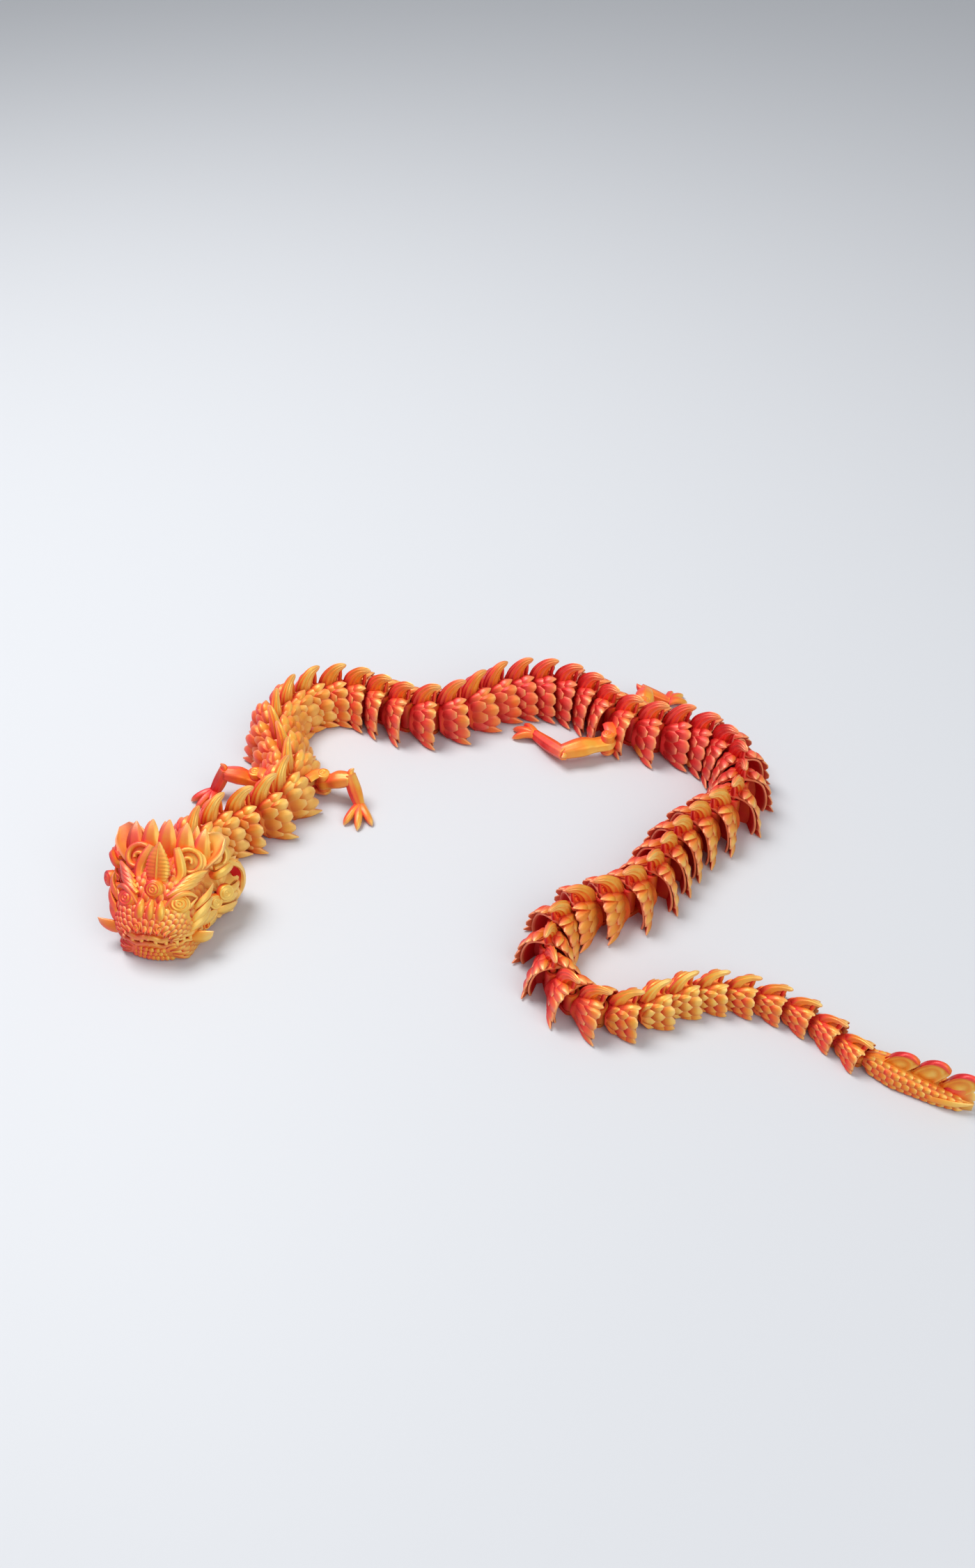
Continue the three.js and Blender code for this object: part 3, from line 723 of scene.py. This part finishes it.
def muzzle(shape, rng):
    """The upper lip's wavy band, nostrils, knobs on the bridge, and the teeth."""
    for side in (1, -1):
        lip = [(-46.4, -0.6, 13.4), (-45.8, 6.2, 13.0), (-43.8, 11.6, 13.4), (-40.0, 15.0, 12.4),
               (-34.5, 17.2, 12.4), (-28.5, 18.4, 13.6)]
        path = curve([mirrored_y(p, side) for p in lip], np.linspace(0, 1, 34))
        wave = 0.5 * np.sin(np.linspace(0, 9 * math.pi, 34))
        path[:, 2] += wave
        limb(shape, path, [1.3, 1.35, 1.3, 1.2, 0.8], [1.1, 1.1, 1.1, 1.0, 0.7], (0, 0, 1),
             along=40, around=12, silk=0.03, edge=0.25)
        under = path - [(0.4, 0, 3.1)]
        limb(shape, under, [0.8, 0.8, 0.8], [0.8, 0.8, 0.7], (0, 0, 1), along=34, around=10,
             silk=-0.06, edge=0.2)
        for k, (t, length) in enumerate(((0.1, 1.8), (0.22, 2.0), (0.36, 3.9), (0.47, 2.2),
                                         (0.58, 2.4), (0.69, 3.2), (0.8, 2.0))):
            root = curve(path, t)
            root = root * (1.005, 1.015, 1) + (0, 0, -0.4)
            tip = root + (0.2, 0, -length - 0.8)
            limb(shape, [root, (root + tip) / 2 + (-0.35, 0, 0), tip], [1.0, 0.85, 0.2],
                 [0.9, 0.75, 0.2], (0, 1, 0), along=8, around=10, silk=0.12, edge=(0, 0.2, 0.7))
        volute(shape, mirrored_y((-44.8, 4.6, 17.6), side), (-0.8, 0.2 * side, 0.6), (0, 1, 0), 2.1,
               0.6, hand=-side, silk=-0.04)
    for y in (-4.3, 0, 4.3):
        size = 2.15 if y else 1.9
        path = [(-41.6, y, 18.4), (-40.8, y, 21.0), (-38.8, y * 0.96, 23.4), (-36.2, y * 0.9, 24.6)]
        limb(shape, path, [size * 0.7, size, size * 0.85, 0.7], [1.5, 1.9, 1.5, 0.6], (0, 1, 0),
             along=14, around=22, ripple=fluted(8, 0.08), silk=(-0.05, 0, 0.1), edge=(0.2, 0, 0))


def cheeks(shape, side):
    """Leaves that sweep back from the corner of the mouth, and the jaw's side spike."""
    sweeps = (
        ((-40, 13.8, 13.0), (-29, 20.6, 15.6), 2.1, -0.04),
        ((-37, 15.2, 16), (-26, 21, 20), 2.2, 0.05),
        ((-35, 15.6, 11.5), (-24.5, 21.4, 11.5), 2.3, -0.08),
        ((-33, 15.5, 19), (-22.5, 20.6, 23.5), 2.0, 0.08),
        ((-34, 14.4, 7.5), (-23, 20.4, 6.4), 2.2, 0.0),
        ((-29.5, 15.5, 4.5), (-19.5, 18.6, 2.6), 2.0, -0.1),
    )
    for root, tip, wide, silk in sweeps:
        leaf(shape, mirrored_y(root, side), mirrored_y(tip, side), wide, 1.3, (0.2, -0.1 * side, 1),
             bow=(-0.6, 1.5 * side, 0.4), flutes=2, silk=silk, edge=(0, 0.1, 0.2, 0.8))
    leaf(shape, mirrored_y((-38.5, 13.2, 8.6), side), mirrored_y((-38.2, 24.2, 12.6), side), 2.9, 1.9,
         (0.2, 0, 1), bow=(-0.6, 0.6 * side, -1.0), flutes=2, groove=0.08, silk=0.1,
         edge=(0, 0, 0.2, 0.9))
    for x, y, z in ((-36.2, 16.8, 13.4), (-32.4, 18.4, 9.0)):
        volute(shape, mirrored_y((x, y, z), side), (-0.45, 0.85 * side, 0.25), (0, 0, 1), 2.2, 0.8,
               hand=side, silk=-0.06)


def crown(shape):
    """The leaf horn, the jewel at its foot, the crest of flames and the mane curls."""
    path = [(-29.5, 0, 26.5), (-26.4, 0, 31), (-23.2, 0, 35.6), (-19.6, 0, 40.6)]
    limb(shape, path, [3.6, 5.3, 4.2, 0.5], [1.6, 2.0, 1.6, 0.4], (0, 1, 0), along=46, around=30,
         ripple=stepped(11, 0.13), silk=(-0.04, 0.0, 0.04), edge=(0, 0, 0.4))
    limb(shape, [np.array(p) + (-1.25, 0, 0.8) for p in path[:3]] + [(-20.6, 0, 40)],
         [0.5, 0.7, 0.5, 0.2], [0.9, 1.1, 0.9, 0.3], (0, 1, 0), along=20, around=10, silk=0.08)
    rosette(shape, (-32.6, 0, 27.2), (-0.75, 0, 0.66), 3.9, 2.3, 3, 0.2, silk=-0.06)
    flames = ((0, 40.6, 4.6, -0.1), (6.6, 39.8, 4.6, 0.04), (13.4, 37.6, 4.2, -0.12))
    for y, top, wide, silk in flames:
        for side in ((1, -1) if y else (1,)):
            root, tip = (-15.5, y * side * 0.92, 23), (-6.6, y * side * 1.08, top)
            leaf(shape, root, tip, wide, 2.0, (0, 1, 0), bow=(-2.2, 0.3 * side, 0.8), flutes=3,
                 silk=silk, edge=(0, 0, 0.1, 0.7), blunt=1.1)
            small = (-12.0, y * side + 3.2 * side, 23), (-4.0, y * side + 3.4 * side, top - 4)
            leaf(shape, *small, 2.8, 1.5, (0, 1, 0), bow=(-1.6, 0.2 * side, 0.6), flutes=2,
                 silk=silk + 0.1, edge=(0, 0, 0.1, 0.7), blunt=0.8)
    for side in (1, -1):
        volute(shape, mirrored_y((-19.0, 10.6, 29.6), side), (-0.7, 0.1 * side, 0.75), (0, -side, 0.4),
               6.2, 1.3, turns=1.5, hand=side, silk=0.05, edge=0.1)
        volute(shape, mirrored_y((-12.2, 18.0, 27.0), side), (-0.6, 0.35 * side, 0.75),
               (0, -side, 0.2), 6.8, 1.3, turns=1.5, hand=side, silk=0.08, edge=0.1)
        strap = [(-29, 7.2, 26.0), (-24.5, 8.6, 28.6), (-20.5, 7.2, 32), (-16.6, 5.2, 35)]
        limb(shape, [mirrored_y(p, side) for p in strap], [1.8, 2.2, 2.2, 1.4], [1.1, 1.3, 1.3, 0.9],
             (0, 1, 0), along=16, around=22, ripple=fluted(6, 0.16), silk=0.1, edge=(0, 0, 0.4))
        band = [(-15.5, 16.5, 21), (-18.5, 20.8, 23.5), (-15.0, 24.2, 24.5), (-9.5, 24.6, 22)]
        limb(shape, [mirrored_y(p, side) for p in band], [1.6, 2.2, 2.2, 1.2], [1.2, 1.4, 1.4, 0.8],
             (0, 0, 1), along=18, around=18, ripple=fluted(6, 0.14), silk=0.1, edge=(0, 0, 0.3))
        for k in range(4):
            root = mirrored_y((-14 + 1.5 * k, 14.5, 20 - 4.2 * k), side)
            tip = mirrored_y((-4.5 + 1.0 * k, 24.5 - 1.2 * k, 21.5 - 5.4 * k), side)
            leaf(shape, root, tip, 3.4, 1.5, (0, 0, 1), bow=(-1.5, 2.0 * side, 0.6), flutes=3,
                 silk=0.06 - 0.07 * (k % 2), edge=(0, 0, 0.1, 0.8))


def head(shape, rng):
    s = sizes(1)
    collar = skin_of([(-12, 11.5, 0, ROOF), (SKIRT, s["width"], 0, ROOF)])
    # The collar core, the pin and the gum inside the mouth are painted dark as shade.
    core(shape, collar, (-13, -10, -7, -4.2), depth=0.3)
    sleeve(shape, collar, -4.6, SKIRT, WALL)
    captive_pin(shape, 0, s)
    skull, jaw, gum = skin_of(SKULL), skin_of(JAW), skin_of(GUM)
    core(shape, skull, [x for x, *_ in SKULL])
    core(shape, jaw, [x for x, *_ in JAW])
    core(shape, gum, [x for x, *_ in GUM], silk=-0.3, depth=0.8)
    for side in (1, -1):
        for row, t in enumerate((0.3, 0.46, 0.62, 0.78)):
            for column in range(2):
                scale(shape, collar, -11.4 + 4.8 * column + 2.4 * (row % 2), side * t, 6.4, 0.1,
                      0.6, 0.9, silk=rng.uniform(-0.08, 0.06))
        for row, t in enumerate(np.linspace(0.1, 0.62, 7)):
            for column in range(7):
                x = -37.0 + 3.1 * column + (1.5 if row % 2 else 0)
                if x > -36 - 14 * (t - 0.2) or t < 0.2:
                    scale(shape, skull, x, side * t, 3.9, 0.056, 0.5, 0.55, rows=6, columns=7,
                          silk=rng.uniform(-0.12, 0.12))
        for row, t in enumerate(np.linspace(0.06, 0.97, 11)):
            for column in range(4):
                x = -47.0 + 2.0 * column + (1.0 if row % 2 else 0)
                scale(shape, skull, x, side * t, 2.6, 0.05, 0.25, 0.4, rows=6, columns=7,
                      silk=rng.uniform(-0.1, 0.1))
        for row, t in enumerate(np.linspace(0.42, 0.96, 8)):
            for column in range(9):
                x = -46.2 + 2.9 * column + (1.4 if row % 2 else 0)
                scale(shape, jaw, x, side * t, 3.6, 0.048, 0.35, 0.5, rows=6, columns=7,
                      silk=rng.uniform(-0.12, 0.12))
        eye(shape, side)
        cheeks(shape, side)
        side_fan(shape, side)
        ear(shape, side)
    chin = np.linspace(-1, 1, 9)
    for row, z in enumerate((1.6, 3.9, 6.2)):
        for y in chin * (7.6 + row):
            root = np.array([-46.4 + 0.02 * y * y, y + (row % 2) * 0.9, z])
            rosette(shape, root, (-1, y * 0.05, 0.1), 1.25, 0.7, 1, 0.05,
                    silk=rng.uniform(-0.1, 0.1))
    muzzle(shape, rng)
    crown(shape)
    for points, hints in zip(shape.points, shape.hints):
        hints[:, 0] -= RED_TO_THE_LEFT * points[:, 1]


# ---- Silk plastic ----
# The mix of the two colours turns with the way a face looks: gold towards GOLD_SIDE, red away from
# it. BASE_MIX gives the part of gold by link number, from the head at 0 to the tail tip.
GOLD_SIDE = np.array([0.8, -0.32, 0.14])
BASE_MIX = [
    (0, 0.42), (2, 0.58), (5, 0.56), (8, 0.46), (11, 0.5), (14, 0.46), (16, 0.36), (19, 0.22),
    (22, 0.2), (25, 0.42), (27, 0.2), (30, 0.2), (33, 0.36), (37, 0.38), (41, 0.36), (44, 0.46),
    (47, 0.68), (51, 0.62), (53, 0.58), (55, 0.7),
]
MIX_TURN = 0.55
HEAD_MIX_TURN = 0.66
# The colours of the silk by the mix, from red at 0 to gold at 1.
SILK_COLOURS = [
    (0.0, (0.62, 0.01, 0.014)), (0.24, (0.95, 0.07, 0.055)), (0.44, (0.95, 0.14, 0.035)),
    (0.64, (0.94, 0.26, 0.025)), (0.84, (0.94, 0.44, 0.045)), (1.0, (0.97, 0.62, 0.13)),
]
# Painted shade: the dark red mixed into hollows, the roots of scales and the insides of links.
PAINTED_SHADE_RED = (0.62, 0.002, 0.002)
# Painted highlight: the pale colour mixed onto rims and tips.
PAINTED_HIGHLIGHT_PALE = (0.98, 0.62, 0.3)
LAYER_LINES = 1500
LAYER_DEPTH = 0.00025


def silk_material():
    material = bpy.data.materials.new("dual_silk_painted_shade_highlight")
    material.use_nodes = True
    nodes, links = material.node_tree.nodes, material.node_tree.links
    nodes.clear()

    def node(kind, **settings):
        made = nodes.new(kind)
        for name, value in settings.items():
            setattr(made, name, value)
        return made

    def math_node(operation, a, b):
        made = node("ShaderNodeMath", operation=operation)
        for socket, value in zip(made.inputs, (a, b)):
            if isinstance(value, (int, float)):
                socket.default_value = value
            else:
                links.new(value, socket)
        return made.outputs[0]

    def noise(scale_by, detail):
        made = node("ShaderNodeTexNoise")
        made.inputs["Scale"].default_value = scale_by
        made.inputs["Detail"].default_value = detail
        links.new(place.outputs["Object"], made.inputs["Vector"])
        return made.outputs["Fac"]

    place = node("ShaderNodeTexCoord")
    # The silk attribute holds the silk mix, the painted shade and the painted highlight.
    hints = node("ShaderNodeVertexColor", layer_name="silk")
    split = node("ShaderNodeSeparateColor")
    links.new(hints.outputs["Color"], split.inputs[0])
    mix, depth, edge = split.outputs

    streak = math_node("MULTIPLY", math_node("SUBTRACT", noise(160, 3), 0.5), 0.5)
    tone = math_node("ADD", mix, streak)
    ramp = node("ShaderNodeValToRGB")
    elements = ramp.color_ramp.elements
    elements[0].color = (*SILK_COLOURS[0][1], 1)
    elements[1].color = (*SILK_COLOURS[-1][1], 1)
    for position, colour in SILK_COLOURS[1:-1]:
        elements.new(position).color = (*colour, 1)
    links.new(tone, ramp.inputs[0])

    def mixed(factor, first, second):
        made = node("ShaderNodeMix", data_type="RGBA")
        links.new(factor, made.inputs["Factor"])
        links.new(first, made.inputs["A"])
        made.inputs["B"].default_value = (*second, 1)
        return made.outputs["Result"]

    # Painted shade: the dark red is mixed in by the painted shade hint.
    shaded_colour = mixed(depth, ramp.outputs[0], PAINTED_SHADE_RED)
    # Painted highlight: the pale colour is mixed in by the painted highlight hint.
    highlighted_colour = mixed(math_node("MULTIPLY", edge, 0.55), shaded_colour, PAINTED_HIGHLIGHT_PALE)

    shader = node("ShaderNodeBsdfPrincipled")
    # The painted shade hint also raises metallic and roughness, which dulls reflections in the shaded
    # places.
    links.new(math_node("ADD", 0.3, math_node("MULTIPLY", depth, 0.25)), shader.inputs["Metallic"])
    grain = math_node("ADD", 0.28, math_node("MULTIPLY", noise(420, 4), 0.2))
    rough = math_node("ADD", grain, math_node("MULTIPLY", depth, 0.4))
    links.new(highlighted_colour, shader.inputs["Base Color"])
    links.new(rough, shader.inputs["Roughness"])

    layers = node("ShaderNodeTexWave", wave_type="BANDS", bands_direction="Z")
    layers.inputs["Scale"].default_value = LAYER_LINES
    layers.inputs["Distortion"].default_value = 0.4
    links.new(place.outputs["Object"], layers.inputs["Vector"])
    height = math_node("ADD", math_node("MULTIPLY", layers.outputs["Fac"], 0.35), noise(900, 3))
    bump = node("ShaderNodeBump")
    bump.inputs["Strength"].default_value = 0.15
    bump.inputs["Distance"].default_value = LAYER_DEPTH
    links.new(height, bump.inputs["Height"])
    links.new(bump.outputs[0], shader.inputs["Normal"])
    out = node("ShaderNodeOutputMaterial")
    links.new(shader.outputs[0], out.inputs[0])
    return material


SILK = silk_material()
SHARP = math.radians(48)


def piece(name, shape, place, mix, turn=MIX_TURN):
    """The finished mesh of one CAD node, set in its place, riding on its body. mix is its part of
    gold, and turn how much that changes with the way a face looks."""
    x, y, heading = place
    local = np.concatenate(shape.points)
    hints = np.concatenate(shape.hints)
    points = np.empty_like(local)
    cos, sin = math.cos(heading), math.sin(heading)
    points[:, 0] = (x + cos * local[:, 0] - sin * local[:, 1]) * MM
    points[:, 1] = (y + sin * local[:, 0] + cos * local[:, 1]) * MM
    points[:, 2] = np.maximum(local[:, 2], 0) * MM
    mesh = bpy.data.meshes.new(name + "_silk")
    mesh.from_pydata(points.tolist(), [], shape.faces)
    work = bmesh.new()
    work.from_mesh(mesh)
    bmesh.ops.recalc_face_normals(work, faces=work.faces)
    work.to_mesh(mesh)
    work.free()
    mesh.polygons.foreach_set("use_smooth", [True] * len(mesh.polygons))
    mesh.set_sharp_from_angle(angle=SHARP)
    normals = np.array([v.vector for v in mesh.vertex_normals])
    colour = np.ones((len(points), 4), np.float32)
    colour[:, 0] = mix + turn * normals @ GOLD_SIDE + hints[:, 0]
    # The painted shade and the painted highlight hints go into the second and third channels.
    colour[:, 1:3] = hints[:, 1:]
    layer = mesh.color_attributes.new("silk", "FLOAT_COLOR", "POINT")
    layer.data.foreach_set("color", np.clip(colour, 0, 1).ravel())
    mesh.materials.append(SILK)
    made = bpy.data.objects.new(name + "_silk", mesh)
    bpy.context.scene.collection.objects.link(made)
    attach(made, name)
    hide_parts(name)
    return made


# ---- Assembly ----
joint_at = {j["name"]: np.array(j["pos_m"]) / MM for j in frame["joints"]}
hinges = [joint_at[f"hinge_{k:02d}"] for k in range(SEGMENTS + 1)]


def link_place(number):
    """Where the front hinge axis of a segment is, and its heading."""
    ahead, behind = hinges[number - 1], hinges[number]
    return ahead[0], ahead[1], math.atan2(behind[1] - ahead[1], behind[0] - ahead[0])


def mix_at(number):
    return float(np.interp(number, *zip(*BASE_MIX)))


def size_at(number):
    along = max(0, number - TAPER_FROM) / (SEGMENTS - TAPER_FROM)
    return 1 + (TAIL_SIZE - 1) * along


shape = Shape()
head(shape, np.random.default_rng(0))
piece("head", shape, (hinges[0][0], hinges[0][1], HEAD_HEADING), mix_at(0), HEAD_MIX_TURN)
for number in range(1, SEGMENTS + 1):
    shape = Shape()
    segment(shape, sizes(size_at(number)), np.random.default_rng(number))
    name = {SHOULDER: "shoulder_segment", HIP: "hip_segment"}.get(number, f"segment_{number:02d}")
    if number in (SHOULDER, HIP):
        leg_lugs(shape, 1)
        leg_lugs(shape, -1)
    piece(name, shape, link_place(number), mix_at(number))
shape = Shape()
tail_tip(shape, np.random.default_rng(99))
last = link_place(SEGMENTS)
piece("tail_tip", shape, (hinges[-1][0], hinges[-1][1], last[2] + TAIL_BEND), mix_at(SEGMENTS + 1))
# Each leg's joint, the link that carries it, and its mix of the two colours.
LEG_JOINTS = {
    "front_left_leg": ("front_left_shoulder", SHOULDER, 0.2),
    "front_right_leg": ("front_right_shoulder", SHOULDER, 0.5),
    "hind_left_leg": ("hind_left_hip", HIP, 0.4),
    "hind_right_leg": ("hind_right_hip", HIP, 0.5),
}
for name, (joint, number, mix) in LEG_JOINTS.items():
    shape = Shape()
    leg(shape, **LEGS[name])
    x, y, _ = joint_at[joint]
    piece(name, shape, (x, y, link_place(number)[2]), mix)

# ---- Floor, light and camera ----
FLOOR_REACH = 6.0
FLOOR_GREY = (0.62, 0.63, 0.65, 1)
SKY = (0.9, 0.94, 1.0, 1)
SKY_STRENGTH = 0.45


def area_light(name, energy, size, place, target):
    light = bpy.data.lights.new(name, "AREA")
    light.shape, light.energy, light.size = "DISK", energy, size
    lamp = bpy.data.objects.new(name, light)
    lamp.location = place
    lamp.rotation_mode = "QUATERNION"
    aim = Vector(target) - Vector(place)
    lamp.rotation_quaternion = aim.to_track_quat("-Z", "Y")
    bpy.context.scene.collection.objects.link(lamp)


def floor():
    mesh = bpy.data.meshes.new("floor")
    corners = [(-1, -1), (1, -1), (1, 1), (-1, 1)]
    mesh.from_pydata([(FLOOR_REACH * x, FLOOR_REACH * y, 0) for x, y in corners], [], [(0, 1, 2, 3)])
    material = bpy.data.materials.new("pale_floor")
    material.use_nodes = True
    shader = material.node_tree.nodes["Principled BSDF"]
    shader.inputs["Base Color"].default_value = FLOOR_GREY
    shader.inputs["Roughness"].default_value = 0.55
    mesh.materials.append(material)
    made = bpy.data.objects.new("floor", mesh)
    bpy.context.scene.collection.objects.link(made)


floor()
area_light("key", 14, 0.7, (-0.5, 0.35, 1.15), (0, 0, 0))
area_light("fill", 7, 1.2, (0.7, -0.8, 1.0), (0, 0, 0))
world = bpy.data.worlds.new("studio")
world.use_nodes = True
sky = world.node_tree.nodes["Background"]
sky.inputs["Color"].default_value = SKY
sky.inputs["Strength"].default_value = SKY_STRENGTH
bpy.context.scene.world = world
# The standard transform keeps the saturated red and gold.
bpy.context.scene.view_settings.view_transform = "Standard"

# The camera looks along +Y and down, from over the near side of the table.
CAMERA_FROM_HINGE = (126.7, -401.6)  # from the head's hinge, across and along
CAMERA_HEIGHT = 428.4
CAMERA_PITCH = math.radians(43)
LENS = 31.6
SENSOR = 36
camera_data = bpy.data.cameras.new("camera")
camera_data.sensor_width = SENSOR
camera_data.lens = LENS
camera_data.clip_start = 0.01
camera = bpy.data.objects.new("camera", camera_data)
camera.location = ((hinges[0][0] + CAMERA_FROM_HINGE[0]) * MM,
                   (hinges[0][1] + CAMERA_FROM_HINGE[1]) * MM, CAMERA_HEIGHT * MM)
camera.rotation_euler = (math.pi / 2 - CAMERA_PITCH, 0, 0)
bpy.context.scene.collection.objects.link(camera)
bpy.context.scene.camera = camera
